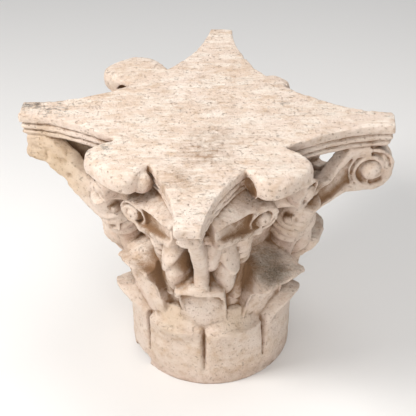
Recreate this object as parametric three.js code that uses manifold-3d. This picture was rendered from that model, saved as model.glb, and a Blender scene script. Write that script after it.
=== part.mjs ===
// Corinthian capital carved from one block of limestone, worn and broken in places.
// Millimetres, +Z up. The origin is the middle of the round underside.
// The four faces look along +X, +Y, -X and -Y, and the four horns point between them.

import * as THREE from 'three';
import { mergeVertices } from 'three/addons/utils/BufferGeometryUtils.js';
import Module from 'manifold-3d';

const wasm = await Module();
wasm.setup();

// Block
const height = 565;
const footRadius = 172;
const footInset = 4;
const bellInset = 22;
const bellFlare = 31;
const bellFlareHeight = 330;
const bellSegments = 24;
const bellRadius = footRadius - bellInset;
const bellTopRadius = bellRadius + bellFlare;

// How deep the carving is rooted in the bell
const rootDepth = 10;

// Abacus
const abacusHeight = 53;
const sideReach = 186;
const sideArcRadius = 375;
const sideSteps = 6;
const fasciaHeight = 19;
const filletHeight = 10;
const grooveDepth = 4;
const bevelDepth = 10;
const hornReach = { right: 359, back: 361, left: 366, near: 371 };
const abacusBottom = height - abacusHeight;

// Lower row of leaves
const leafCount = 8;
const lowerLeafHeight = 196;
const lowerLeafShoulder = 150;
const lowerLeafCurl = 34;
const leafGap = 13;
const leafGapBottom = 18;
const brokenLeaves = [6, 7];
const brokenLeafShoulder = 145;
const brokenLeafDrop = 47;
const brokenLeafCurl = 8;

// Upper row of leaves
const upperLeafHeight = 307;
const upperLeafWidth = 98;
const upperLeafBottom = 104;
const upperLeafReach = 240;
const upperLeafGrowth = [12, 0, 0, -2, -4, -12, -22, 0];

// Stalks with ringed collars
const stalkBottom = 235;
const stalkHeadDrop = 114;
const stalkFootRadius = 20;
const stalkHeadRadius = 33;
const stalkAngle = 20;
const stalkReach = 196;
const collarDepth = 4;

// Sheath pods under the corners
const podBottom = 268;
const podTop = 432;
const podWidth = 68;
const podReach = 223;
const podAngle = 16;

// Inner spirals, two to a face
const scrollRadius = 32;
const scrollOffset = 57;
const scrollProud = 42;
const scrollDrop = 46;
const scrollRim = 8;
const scrollEye = 8;

// Corner straps and volutes
const strapThickness = { sound: 31, cut: 31, left: 31, near: 62 };
const strapStart = 56;
const voluteInset = 30;
const voluteRadius = 49;
const voluteEye = 14;
const channelDepth = 7;
const rimWidth = 13;
const rimShare = 0.2;
const voluteWinding = 7;
const voluteSides = 12;
const soffitStart = 34;
const soffitThickness = 18;

// Strut of the near corner, from its upper leaf to its horn, and the worn end of that horn
const strutWidth = 30;
const strutFootInset = 14;
const strutHeadInset = 33;
const hornWear = 19;
const hornWearHeight = 25;
const hornWearWidth = 90;

// Chip in the edge of the foot
const chipBearing = -103;
const chipWidth = 66;
const chipHeight = 20;
const chipDepth = 17;

// How far a cut runs past the stone
const clearOf = 60;

// Face lobes
const lobeWidth = { right: 138, back: 60, left: 134, near: 154 };
const lobeRootWidth = 92;
const lobeProud = { right: 85, back: 28, left: 113, near: 83 };
const lobeShift = { right: -18, back: 8, left: -6, near: 8 };
const lobeDepth = 46;
const lobeDrop = 27;

// Names of the faces, and of the corner that follows each, turning from +X towards +Y
const sideNames = ['right', 'back', 'left', 'near'];
const quarter = Math.PI / 2;
const nearCorner = 3;

// A point from its distance from the axis, its bearing in radians and its height
function polar(radius, bearing, z) {
  return new THREE.Vector3(radius * Math.cos(bearing), radius * Math.sin(bearing), z);
}

// The bearing of a corner in radians
function cornerBearing(corner) {
  return (corner + 0.5) * quarter;
}

// A point on a face: out from the axis, along the face and up
function facePoint(face, out, along, z) {
  const bearing = face * quarter;
  const c = Math.cos(bearing);
  const s = Math.sin(bearing);
  return new THREE.Vector3(out * c - along * s, out * s + along * c, z);
}

// A value read from a row of [position, value] pairs, straight between them
function readOff(pairs, position) {
  if (position <= pairs[0][0]) return pairs[0][1];
  for (let i = 1; i < pairs.length; i += 1) {
    const [end, value] = pairs[i];
    if (position > end) continue;
    const [start, before] = pairs[i - 1];
    return before + ((value - before) * (position - start)) / (end - start);
  }
  return pairs[pairs.length - 1][1];
}

// A closed solid from points and triangles, turned so that its faces point out
function solidFrom(points, triangles) {
  const geometry = new THREE.BufferGeometry().setFromPoints(points);
  geometry.setIndex(triangles);
  const merged = mergeVertices(geometry, 0.001);
  const place = merged.getAttribute('position').array;
  const index = merged.getIndex().array;
  const kept = [];
  let volume = 0;
  const corners = [new THREE.Vector3(), new THREE.Vector3(), new THREE.Vector3()];
  for (let i = 0; i < index.length; i += 3) {
    const [a, b, c] = [index[i], index[i + 1], index[i + 2]];
    if (a === b || b === c || c === a) continue;
    kept.push([a, b, c]);
    corners.forEach((corner, k) => corner.fromArray(place, 3 * index[i + k]));
    volume += corners[0].dot(corners[1].clone().cross(corners[2]));
  }
  const turned = volume < 0 ? kept.map(([a, b, c]) => [a, c, b]) : kept;
  const mesh = new wasm.Mesh({
    numProp: 3,
    vertProperties: new Float32Array(place),
    triVerts: new Uint32Array(turned.flat()),
  });
  return new wasm.Manifold(mesh);
}

// A solid skinned over a row of rings with the same number of points, with flat ends
function loft(rings) {
  const count = rings[0].length;
  const points = rings.flat();
  const triangles = [];
  for (let r = 0; r + 1 < rings.length; r += 1) {
    for (let k = 0; k < count; k += 1) {
      const next = (k + 1) % count;
      const a = r * count + k;
      const b = r * count + next;
      triangles.push(a, b, b + count, a, b + count, a + count);
    }
  }
  const lastStart = (rings.length - 1) * count;
  [[0, rings[0], true], [lastStart, rings[rings.length - 1], false]].forEach(([start, ring, first]) => {
    const middle = ring.reduce((sum, point) => sum.add(point), new THREE.Vector3()).divideScalar(count);
    points.push(middle);
    for (let k = 0; k < count; k += 1) {
      const next = (k + 1) % count;
      if (first) triangles.push(points.length - 1, start + next, start + k);
      else triangles.push(points.length - 1, start + k, start + next);
    }
  });
  return solidFrom(points, triangles);
}

// Evenly spaced values from 0 to 1
function evenly(steps) {
  return Array.from({ length: steps + 1 }, (unused, i) => i / steps);
}

// A plate between a front and a back surface, both given over rows of u and v from 0 to 1
function plate(us, vs, front, back) {
  const points = [front, back].flatMap((surface) => vs.flatMap((v) => us.map((u) => surface(u, v))));
  const columns = us.length - 1;
  const rows = vs.length - 1;
  const side = us.length * vs.length;
  const at = (i, j) => j * us.length + i;
  const triangles = [];
  for (let j = 0; j < rows; j += 1) {
    for (let i = 0; i < columns; i += 1) {
      const [a, b, c, d] = [at(i, j), at(i + 1, j), at(i + 1, j + 1), at(i, j + 1)];
      triangles.push(a, b, c, a, c, d, side + a, side + c, side + b, side + a, side + d, side + c);
    }
  }
  const border = [];
  for (let i = 0; i < columns; i += 1) border.push(at(i, 0));
  for (let j = 0; j < rows; j += 1) border.push(at(columns, j));
  for (let i = columns; i > 0; i -= 1) border.push(at(i, rows));
  for (let j = rows; j > 0; j -= 1) border.push(at(0, j));
  border.forEach((a, k) => {
    const b = border[(k + 1) % border.length];
    triangles.push(a, side + a, side + b, a, side + b, b);
  });
  return solidFrom(points, triangles);
}

// The bell: a round core that flares to the underside of the abacus
function bell() {
  const profile = [
    [0, 0],
    [footRadius - footInset, 0],
    [footRadius - footInset, leafGapBottom],
    [bellRadius, leafGapBottom + 12],
    [bellRadius, bellFlareHeight],
    [bellTopRadius, abacusBottom + 5],
    [0, abacusBottom + 5],
  ];
  const points = profile.map(([r, z]) => new THREE.Vector2(r, z));
  const geometry = new THREE.LatheGeometry(points, bellSegments);
  const place = geometry.getAttribute('position');
  const turned = [];
  for (let i = 0; i < place.count; i += 1) {
    turned.push(new THREE.Vector3(place.getX(i), -place.getZ(i), place.getY(i)));
  }
  return solidFrom(turned, Array.from(geometry.getIndex().array));
}

// How far out a side of the abacus lies, at a distance along the face
function sideOut(distance, inset) {
  const radius = sideArcRadius + inset;
  return sideReach + sideArcRadius - Math.sqrt(radius * radius - distance * distance);
}

// Where a side of the abacus meets the cut end of a horn
function sideEnd(reach, inset) {
  const ratio = ((reach - inset) * Math.SQRT2 - sideReach - sideArcRadius) / (sideArcRadius + inset);
  return (sideArcRadius + inset) * Math.sin(Math.PI / 4 + Math.asin(ratio / Math.SQRT2));
}

// The outline of the abacus at one level, moved in by an inset
function abacusRing(inset, z) {
  const ring = [];
  for (let face = 0; face < 4; face += 1) {
    const from = -sideEnd(hornReach[sideNames[(face + 3) % 4]], inset);
    const to = sideEnd(hornReach[sideNames[face]], inset);
    for (let i = 0; i <= sideSteps; i += 1) {
      const distance = from + ((to - from) * i) / sideSteps;
      ring.push(facePoint(face, sideOut(distance, inset), distance, z));
    }
  }
  return ring;
}

// The abacus: a fascia, a fillet between two grooves and a bevelled lower edge
function abacus() {
  const filletTop = height - fasciaHeight - grooveDepth;
  const filletBottom = filletTop - filletHeight;
  return loft([
    abacusRing(bevelDepth, abacusBottom),
    abacusRing(1, filletBottom - grooveDepth),
    abacusRing(grooveDepth, filletBottom - grooveDepth / 2),
    abacusRing(1, filletBottom),
    abacusRing(1, filletTop),
    abacusRing(grooveDepth, height - fasciaHeight - grooveDepth / 2),
    abacusRing(0, height - fasciaHeight),
    abacusRing(0, height),
  ]);
}

// A leaf skinned over upright slices, each a ring of [radius, height, sideways share]
function leaf(bearing, halfWidth, slices, ringAt) {
  const rings = [];
  for (let i = 0; i <= slices; i += 1) {
    const u = -1 + (2 * i) / slices;
    rings.push(ringAt(u).map(([radius, z, share]) => {
      const sideways = u * halfWidth * share;
      return polar(radius, bearing + sideways / radius, z);
    }));
  }
  return loft(rings);
}

// A leaf of the lower row, as wide as its share of the foot less the gap
function lowerLeaf(index) {
  const bearing = ((index + 0.5) * 2 * Math.PI) / leafCount;
  const fullWidth = (Math.PI * footRadius) / leafCount;
  const broken = brokenLeaves.includes(index);
  const curl = broken ? brokenLeafCurl : lowerLeafCurl;
  const shoulder = broken ? brokenLeafShoulder : lowerLeafShoulder;
  return leaf(bearing, fullWidth, 6, (u) => {
    const bend = 1 - u * u;
    const tip = shoulder + (lowerLeafHeight - lowerLeafShoulder) * bend;
    const front = broken ? tip - brokenLeafDrop * bend : tip;
    const narrow = 1 - leafGap / 2 / fullWidth;
    const inner = bellRadius - rootDepth;
    return [
      [inner, 0, 1.01],
      [footRadius, 0, 1.01],
      [footRadius, leafGapBottom, 1.01],
      [footRadius + curl * 0.16 * bend, front - 28 + 4 * bend, narrow],
      [footRadius + curl * bend, front - 3, narrow],
      [footRadius + curl * bend - 5, front + 3, narrow],
      [footRadius + 10 * bend - 3, tip - 6 * bend, narrow],
      [inner, tip + 8, narrow],
    ];
  });
}

// A leaf of the upper row: a hollow front, a sharp lip and a shelf back to the bell
function upperLeaf(index) {
  const bearing = (index * 2 * Math.PI) / leafCount;
  const reach = upperLeafReach + upperLeafGrowth[index];
  return leaf(bearing, upperLeafWidth / 2, 4, (u) => {
    const lip = reach - 10 * u * u;
    const rise = upperLeafHeight - 8 * u * u;
    const flare = lip - footRadius;
    return [
      [bellRadius - rootDepth, upperLeafBottom, 0.9],
      [bellRadius + 7, upperLeafBottom + 36, 0.9],
      [footRadius - 0.08 * flare, upperLeafHeight * 0.63, 0.94],
      [footRadius + 0.26 * flare, upperLeafHeight * 0.82, 1],
      [lip - 12, rise - 24, 1],
      [lip, rise - 4, 1],
      [lip - 9, rise + 4, 0.97],
      [bellRadius + 28, rise + 17, 0.86],
      [bellRadius - rootDepth, rise + 30, 0.8],
    ];
  });
}

// A stalk that leans from the lower leaf's bearing to the foot of its spiral
function stalk(face, side) {
  const rows = [
    [0, stalkFootRadius],
    [0.68, stalkHeadRadius - 5],
    [0.76, stalkHeadRadius + collarDepth - 2],
    [0.84, stalkHeadRadius - 2],
    [0.92, stalkHeadRadius + collarDepth],
    [1, stalkHeadRadius],
  ];
  const sides = 6;
  const stalkTop = abacusBottom - stalkHeadDrop;
  return loft(rows.map(([share, radius]) => {
    const bearing = (face * 90 + side * (22.5 + (stalkAngle - 22.5) * share)) * (Math.PI / 180);
    const reach = bellRadius + 8 + (stalkReach - bellRadius - 8) * share * share;
    const centre = polar(reach, bearing, stalkBottom + (stalkTop - stalkBottom) * share);
    const tilt = 0.55 * share;
    const outward = polar(1, bearing, 0);
    const lean = new THREE.Vector3(outward.x * Math.cos(tilt), outward.y * Math.cos(tilt), -Math.sin(tilt));
    const across = new THREE.Vector3(-outward.y, outward.x, 0);
    return Array.from({ length: sides }, (unused, k) => {
      const turn = (2 * Math.PI * k) / sides;
      const point = centre.clone().addScaledVector(lean, radius * Math.cos(turn));
      return point.addScaledVector(across, radius * Math.sin(turn));
    });
  }));
}

// A swollen sheath pod between a stalk and the corner
function pod(corner, side) {
  const bearing = cornerBearing(corner) + (side * podAngle * Math.PI) / 180;
  const middle = (podBottom + podTop) / 2;
  const rows = [-1, -0.6, 0.5, 1];
  return loft(rows.map((row) => {
    const swell = Math.sqrt(1.05 - row * row);
    const centre = polar(bellRadius + 8, bearing, middle + (row * (podTop - podBottom)) / 2);
    const outward = polar(1, bearing, 0);
    const across = new THREE.Vector3(-outward.y, outward.x, 0);
    const deep = podReach - bellRadius - 8;
    return Array.from({ length: 8 }, (unused, k) => {
      const turn = (2 * Math.PI * k) / 8;
      const point = centre.clone().addScaledVector(outward, swell * deep * Math.cos(turn));
      return point.addScaledVector(across, ((swell * podWidth) / 2) * Math.sin(turn));
    });
  }));
}

// A stepped round disc that faces out from the bell, with a rim, a sunk ring and an eye
function roundBoss(place, facing, rows, sides) {
  const across = new THREE.Vector3(-facing.y, facing.x, 0).normalize();
  const up = facing.clone().cross(across).normalize();
  return loft(rows.map(([radius, proud]) => {
    return Array.from({ length: sides }, (unused, k) => {
      const turn = (2 * Math.PI * k) / sides;
      const point = place.clone().addScaledVector(facing, proud);
      point.addScaledVector(across, radius * Math.cos(turn));
      return point.addScaledVector(up, radius * Math.sin(turn));
    });
  }));
}

// One of the two inner spirals of a face
function innerSpiral(face, side) {
  const place = facePoint(face, sideReach + scrollProud, side * scrollOffset, abacusBottom - scrollDrop);
  const bearing = Math.atan2(place.y, place.x);
  const facing = polar(1, bearing, -0.25).normalize();
  return roundBoss(place, facing, [
    [scrollRadius, -58],
    [scrollRadius, 0],
    [scrollRadius - scrollRim, 2],
    [scrollRadius - scrollRim - 3, -4],
    [scrollEye + 3, -3],
    [scrollEye, 3],
  ], 8);
}

// The web that joins the two inner spirals under the face lobe
function spiralWeb(face) {
  const half = scrollOffset - scrollRadius / 2;
  const bottom = abacusBottom - scrollDrop - scrollRadius * 0.7;
  const surface = (out, hollow) => (u, v) => {
    const z = bottom + (abacusBottom + 4 - bottom) * v;
    return facePoint(face, out - hollow * Math.sin(Math.PI * u), half * (2 * u - 1), z);
  };
  return plate(evenly(3), [0, 1], surface(sideReach + scrollProud - 6, 26), surface(bellRadius, 0));
}

// Where the volutes' eyes lie: along the face, inside the horn's end, and in height
const volutePlace = sideEnd(Math.min(...Object.values(hornReach)), 0) - voluteInset;
const voluteRise = abacusBottom - voluteRadius;

// Lower and upper edge of a strap as [share of its run, drop below the abacus], and its
// outward bulge as [share, bulge]. The near corner's straps sit higher and prouder, the left
// corner's have worn away below, and the right corner's strap on the back face is cut lower.
const strapLow = {
  sound: [[0, 120], [0.29, 115], [0.52, 106], [0.72, 92], [1, 2 * voluteRadius]],
  cut: [[0, 132], [0.29, 127], [0.52, 116], [0.72, 98], [1, 2 * voluteRadius]],
  near: [[0, 84], [0.29, 78], [0.52, 68], [0.72, 57], [1, 38]],
  left: [[0, 160], [0.36, 150], [0.67, 118], [0.85, 84], [1, 60], [1.22, 46]],
};
const strapHigh = {
  sound: [[0, 50], [0.24, 64], [0.47, 50], [0.62, 22], [0.76, -2]],
  cut: [[0, 66], [0.24, 92], [0.47, 90], [0.62, 70], [0.76, 46], [0.89, -2]],
  near: [[0, 14], [0.72, 14], [1, -2]],
  left: [[0, 64], [0.44, 72], [0.68, 46], [0.89, 12], [1, -2]],
};
const strapBulge = {
  sound: [[0, 30], [0.29, 12], [0.69, 2], [1.32, -6]],
  cut: [[0, 30], [0.29, 12], [0.69, 2], [1.32, -6]],
  near: [[0, 34], [0.36, 22], [0.69, 12], [1.32, -6]],
  left: [[0, 22], [0.36, 6], [0.69, 0], [1.32, -6]],
};
const strapStations = [0, 0.24, 0.47, 0.62, 0.76];
const cornerState = ['sound', 'sound', 'left', 'near'];

// The state of one strap, by its face and by the side of the face it runs to
function strapState(face, side) {
  if (face === 1 && side < 0) return 'cut';
  return cornerState[side > 0 ? face : (face + 3) % 4];
}

// Whether a strap still ends in its volute
function strapIsWhole(state) {
  return state === 'sound' || state === 'cut';
}

// The share of a strap's run that a distance along the face stands for
function runShare(distance) {
  return (distance - strapStart) / (volutePlace - strapStart);
}

// How far out the outer face of a corner strap lies, at a distance along the face
function strapOut(distance, state) {
  return sideOut(distance, 0) + readOff(strapBulge[state], runShare(distance));
}

// Lower and upper edge of a strap, at a distance along the face
function strapEdges(distance, state) {
  const share = runShare(distance);
  return [abacusBottom - readOff(strapLow[state], share), abacusBottom - readOff(strapHigh[state], share)];
}

// How far a strap still runs along its face, as a share of the volute's width
const strapRun = { sound: 0.5, cut: 0.5, left: 0.84, near: 0.16 };

// The distance along the face at which a strap ends
function strapEnd(state) {
  return volutePlace + voluteRadius * (2 * strapRun[state] - 1) - 1;
}

// One strap: two raised rims along its edges with a sunken channel between them
function strap(face, side) {
  const state = strapState(face, side);
  const end = strapEnd(state);
  const run = volutePlace - strapStart;
  const stations = strapStations.map((share) => strapStart + share * run).filter((at) => at < end - 8);
  const us = stations.concat(end).map((distance) => (distance - strapStart) / (end - strapStart));
  const carved = state !== 'left';
  const rim = rimShare;
  const vs = carved ? [0, rim, rim + 0.05, 1 - rim - 0.05, 1 - rim, 1] : [0, 1];
  const surface = (depth, sunk) => (u, v) => {
    const distance = strapStart + (end - strapStart) * u;
    const [lower, upper] = strapEdges(distance, state);
    const inChannel = v > rim + 0.04 && v < 1 - rim - 0.04;
    const out = strapOut(distance, state) - depth - (sunk && inChannel ? channelDepth : 0);
    return facePoint(face, out, side * distance, lower + (upper - lower) * v);
  };
  return plate(us, vs, surface(0, carved), surface(strapThickness[state], false));
}

// The soffit that closes a corner from below, between the lower parts of its two straps
function soffit(corner) {
  const surface = (face, side) => {
    const state = strapState(face, side);
    const end = strapEnd(state) - 8;
    return (u, v) => {
      const distance = soffitStart + (end - soffitStart) * u;
      const kept = Math.max(strapStart, distance);
      const lower = strapEdges(kept, state)[0] + 5;
      const out = strapOut(kept, state) - channelDepth - 5;
      return facePoint(face, out, side * distance, lower + soffitThickness * v);
    };
  };
  return plate([0, 0.13, 0.5, 0.75, 1], [0, 1], surface(corner, 1), surface((corner + 1) % 4, -1));
}

// A volute: a round whose rim winds in by one turn around a sunk channel and a raised eye
function volute(face, side) {
  const state = strapState(face, side);
  const place = facePoint(face, strapOut(volutePlace, state), side * volutePlace, voluteRise);
  const slope = strapOut(volutePlace + 10, state) - strapOut(volutePlace - 10, state);
  const facing = facePoint(face, 20, -side * slope, 0).normalize();
  const across = facePoint(face, slope, side * 20, 0).normalize();
  const rows = [
    [voluteRadius, -strapThickness[state] - channelDepth, 1],
    [voluteRadius, 0, 1],
    [voluteRadius - rimWidth, 0, 1],
    [voluteRadius - rimWidth - 3, -channelDepth, 1],
    [voluteEye + 3, -channelDepth, 0],
    [voluteEye - 2, 3, 0],
  ];
  return loft(rows.map(([radius, proud, winding]) => Array.from({ length: voluteSides }, (unused, k) => {
    const share = k / voluteSides;
    const turn = Math.PI * (0.9 - 2 * share);
    const drawn = radius - winding * voluteWinding * share;
    const point = place.clone().addScaledVector(facing, proud);
    point.addScaledVector(across, drawn * Math.cos(turn));
    return point.add(new THREE.Vector3(0, 0, drawn * Math.sin(turn)));
  })));
}

// A rounded lobe on the middle of a face, flush with the top and narrower where it starts
function faceLobe(face) {
  const name = sideNames[face];
  const start = sideReach - 24;
  const reach = sideReach + lobeProud[name] - start;
  const rootWidth = Math.min(lobeRootWidth, lobeWidth[name]);
  const rows = [
    [0.6, -lobeDepth],
    [0.95, -lobeDepth + 8],
    [1, -lobeDrop],
    [0.9, -lobeDrop * 0.3],
    [0.6, 0],
  ];
  return loft(rows.map(([size, drop]) => {
    const ring = [];
    for (let k = 0; k <= 8; k += 1) {
      const turn = -quarter + (Math.PI * k) / 8;
      const outShare = size * Math.abs(Math.cos(turn)) ** 0.55;
      const spread = Math.min(1, outShare * 1.3);
      const half = (rootWidth + (lobeWidth[name] - rootWidth) * spread) / 2;
      const sideways = Math.sign(turn) * Math.abs(Math.sin(turn)) ** 0.55;
      const distance = lobeShift[name] + (0.55 + 0.45 * size) * half * sideways;
      ring.push(facePoint(face, start + reach * outShare, distance, height + drop));
    }
    return ring;
  }));
}

// The strut that is left where the near corner's two straps met
function strut() {
  const bearing = cornerBearing(nearCorner);
  const strutFoot = upperLeafReach - strutFootInset;
  const strutHead = hornReach.near - strutHeadInset;
  const lean = strutHead - strutFoot;
  const foot = upperLeafHeight + 8;
  const rise = abacusBottom - foot;
  const profile = [
    [bellRadius, foot],
    [strutFoot, foot],
    [strutFoot + 0.04 * lean, foot + 0.14 * rise],
    [strutFoot + 0.34 * lean, foot + 0.46 * rise],
    [strutHead - 0.2 * lean, abacusBottom - 0.16 * rise],
    [strutHead, abacusBottom + 6],
    [bellRadius, abacusBottom + 6],
  ];
  return loft([-1, 1].map((side) => profile.map(([reach, z]) => {
    return polar(reach, bearing, z).add(polar((side * strutWidth) / 2, bearing + quarter, 0));
  })));
}

// A box turned about the axis, to cut with: reach of its inner face, depth, width and levels
function block(bearing, reach, depth, width, bottom, top) {
  const shape = new THREE.BoxGeometry(depth, width, top - bottom);
  shape.translate(reach + depth / 2, 0, (bottom + top) / 2);
  shape.rotateZ(bearing);
  shape.deleteAttribute('normal');
  shape.deleteAttribute('uv');
  const place = shape.getAttribute('position');
  const points = [];
  for (let k = 0; k < place.count; k += 1) {
    points.push(new THREE.Vector3().fromBufferAttribute(place, k));
  }
  return solidFrom(points, Array.from(shape.getIndex().array));
}

// What has broken away from the lower part of the near horn's end
function hornBreak() {
  const reach = hornReach.near - hornWear;
  const top = abacusBottom + hornWearHeight;
  return block(cornerBearing(nearCorner), reach, clearOf, hornWearWidth, abacusBottom - hornWear, top);
}

// The foot has lost a flat chip from its edge
function footChip() {
  const bearing = chipBearing * (Math.PI / 180);
  return block(bearing, footRadius - chipDepth, clearOf, chipWidth, -clearOf, chipHeight);
}

// Union of a list of solids
function joined(solids) {
  return solids.reduce((whole, solid) => whole.add(solid));
}

const pieces = [bell(), abacus()];
for (let index = 0; index < leafCount; index += 1) {
  pieces.push(lowerLeaf(index), upperLeaf(index));
}
for (let face = 0; face < 4; face += 1) {
  pieces.push(faceLobe(face), soffit(face), spiralWeb(face));
  [-1, 1].forEach((side) => {
    const state = strapState(face, side);
    pieces.push(stalk(face, side), pod(face, side), innerSpiral(face, side), strap(face, side));
    if (strapIsWhole(state)) pieces.push(volute(face, side));
  });
}

const stone = joined(pieces).subtract(hornBreak()).add(strut()).subtract(footChip());

// The solid as a mesh
function meshOf(solid, name, material) {
  const data = solid.getMesh();
  const geometry = new THREE.BufferGeometry();
  geometry.setAttribute('position', new THREE.BufferAttribute(new Float32Array(data.vertProperties), 3));
  geometry.setIndex(new THREE.BufferAttribute(new Uint32Array(data.triVerts), 1));
  const mesh = new THREE.Mesh(geometry, material);
  mesh.name = name;
  return mesh;
}

const limestone = new THREE.MeshStandardMaterial({ color: 0xd9c9ae, roughness: 0.92, metalness: 0 });

const group = new THREE.Group();
group.add(meshOf(stone, 'capital', limestone));

export default group;
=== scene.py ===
import math

import bpy
import numpy as np
from mathutils import Matrix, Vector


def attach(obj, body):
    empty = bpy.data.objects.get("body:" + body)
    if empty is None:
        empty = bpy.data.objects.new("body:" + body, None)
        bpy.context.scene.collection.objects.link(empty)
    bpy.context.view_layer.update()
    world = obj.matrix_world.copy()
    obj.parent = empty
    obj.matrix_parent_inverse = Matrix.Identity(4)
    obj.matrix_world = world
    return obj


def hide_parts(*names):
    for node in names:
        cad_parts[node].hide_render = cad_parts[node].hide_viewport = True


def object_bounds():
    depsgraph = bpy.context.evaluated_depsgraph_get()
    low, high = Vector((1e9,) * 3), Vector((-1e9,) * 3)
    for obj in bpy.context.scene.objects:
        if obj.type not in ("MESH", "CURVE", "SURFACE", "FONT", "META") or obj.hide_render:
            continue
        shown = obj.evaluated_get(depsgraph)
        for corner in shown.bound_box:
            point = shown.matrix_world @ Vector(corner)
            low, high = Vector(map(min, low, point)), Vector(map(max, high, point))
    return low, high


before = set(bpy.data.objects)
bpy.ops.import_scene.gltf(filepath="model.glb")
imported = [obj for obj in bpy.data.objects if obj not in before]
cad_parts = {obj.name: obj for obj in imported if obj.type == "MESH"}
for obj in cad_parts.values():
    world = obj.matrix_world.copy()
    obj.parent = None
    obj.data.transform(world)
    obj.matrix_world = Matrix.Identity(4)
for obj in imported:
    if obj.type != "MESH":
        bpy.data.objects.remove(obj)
cadBox = [list(corner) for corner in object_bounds()]
print("frame loaded:", sorted(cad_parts))

# A corinthian capital carved from one block of limestone. All sizes are in millimetres and
# are put into the mesh in metres. Faces 0 to 3 look along +X, +Y, -X and -Y, and corner k
# lies between face k and the next one.

quarter = math.pi / 2

block = {
    "height": 565,
    "footRadius": 172,
    "footInset": 4,
    "bellRadius": 150,
    "bellTopRadius": 181,
    "bellFlareHeight": 330,
    "footRingHeight": 18,
}

skin = {
    "voxel": 1.7,          # grid of the first skin over all the carved forms
    "wearRounds": 2,       # rounds of softening, which wear the arrises down
    "triangles": 185000,   # what the finished mesh is thinned to
}


def polar(radius, bearing, z):
    # (r cos b, r sin b, z)
    parts = np.broadcast_arrays(radius * np.cos(bearing), radius * np.sin(bearing), z)
    return np.stack(parts, -1).astype(float)


def cornerBearing(corner):
    return (corner + 0.5) * quarter


def facePoint(face, out, along, z):
    # (out cos f - along sin f, out sin f + along cos f, z), with f the bearing of the face
    c, s = round(math.cos(face * quarter)), round(math.sin(face * quarter))
    parts = np.broadcast_arrays(out * c - along * s, out * s + along * c, z)
    return np.stack(parts, -1).astype(float)


def unit(vector):
    return vector / np.linalg.norm(vector)


def ring(count):
    # the bearings of one turn
    return np.linspace(0, 2 * math.pi, count, endpoint=False)


def signedPower(value, power):
    # sign(v) |v|^p
    return np.sign(value) * np.abs(value) ** power


def ease(low, high, value):
    # t t (3 - 2 t), with t running from 0 at low to 1 at high
    t = np.clip((value - low) / (high - low), 0, 1)
    return t * t * (3 - 2 * t)


def band(low, high, soft, value):
    # 1 between low and high and 0 outside, over a soft edge
    return ease(low - soft, low + soft, value) * (1 - ease(high - soft, high + soft, value))


def readOff(pairs, value):
    # straight between [place, value] pairs
    places, values = np.array(pairs, float).T
    return np.interp(value, places, values)


def curve(points, count):
    # Catmull-Rom: half of 2b + (c-a) t + (2a-5b+4c-d) t^2 + (3b-a-3c+d) t^3
    points = np.asarray(points, float)
    before = 2 * points[..., :1, :] - points[..., 1:2, :]
    after = 2 * points[..., -1:, :] - points[..., -2:-1, :]
    padded = np.concatenate([before, points, after], -2)
    spans = points.shape[-2] - 1
    t = np.linspace(0, spans, count)
    first = np.minimum(t.astype(int), spans - 1)
    t = (t - first)[:, None]
    a, b, c, d = (padded[..., first + k, :] for k in range(4))
    return 0.5 * (2 * b + (c - a) * t + (2 * a - 5 * b + 4 * c - d) * t**2
                  + (3 * b - a - 3 * c + d) * t**3)


def closedRows(rows):
    # rows of closed rings joined by quads, each end closed by a fan on the middle of its ring
    rows = np.asarray(rows, float)
    count, sides = rows.shape[:2]
    ids = np.arange(count * sides).reshape(count, sides)
    turned = np.roll(ids, -1, 1)
    a, b, c, d = (part.ravel() for part in (ids[:-1], turned[:-1], turned[1:], ids[1:]))
    start = np.full(sides, count * sides)
    finish = start + 1
    faces = np.concatenate([
        np.stack([a, b, c], 1),
        np.stack([a, c, d], 1),
        np.stack([start, turned[0], ids[0]], 1),
        np.stack([finish, ids[-1], turned[-1]], 1),
    ])
    points = np.concatenate([rows.reshape(-1, 3), rows[:1].mean(1), rows[-1:].mean(1)])
    p, q, r = (points[faces[:, k]] for k in range(3))
    if np.einsum("ij,ij->", p, np.cross(q, r)) < 0:
        faces = faces[:, ::-1]
    return points, faces


def slab(front, back):
    # a closed plate between two grids of the same shape
    return closedRows(np.concatenate([front, back[:, ::-1]], 1))


# The bell and the abacus

abacus = {
    "height": 53,
    "sideReach": 186,
    "sideArcRadius": 375,
    "horn": [359, 361, 366, 371],    # how far out each corner's horn is cut off
    # how far each level of the edge lies in from its face, by its drop below the top
    "edge": [[0, 1.5], [2, 0], [17.5, 0], [19, 2], [20, 6.5], [24, 6.5], [25, 2], [34, 2],
             [35, 8], [39, 8], [40, 2.5], [43, 3], [46, 5], [49.5, 8.5], [53, 14]],
}
abacusBottom = block["height"] - abacus["height"]


def sideOut(distance, inset=0):
    # s + R - sqrt((R + inset)^2 - d^2): a hollow arc seen from above
    radius = abacus["sideArcRadius"] + inset
    return abacus["sideReach"] + abacus["sideArcRadius"] - np.sqrt(radius**2 - distance**2)


def sideEnd(reach, inset):
    # R sin(45 + asin(k / sqrt 2)): where the arc meets the cut across the horn
    radius = abacus["sideArcRadius"] + inset
    middle = abacus["sideReach"] + abacus["sideArcRadius"]
    ratio = ((reach - inset) * math.sqrt(2) - middle) / radius
    return radius * np.sin(math.pi / 4 + np.arcsin(ratio / math.sqrt(2)))


def bell():
    # r(z) turned about the axis
    top = abacusBottom + 5
    z = np.linspace(0, top, 90)
    rise = block["footRingHeight"]
    foot = block["footRadius"] - block["footInset"]
    profile = [[0, foot], [rise, foot], [rise + 12, block["bellRadius"]],
               [block["bellFlareHeight"], block["bellRadius"]], [top, block["bellTopRadius"]]]
    return closedRows(polar(readOff(profile, z)[:, None], ring(240), z[:, None]))


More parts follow.
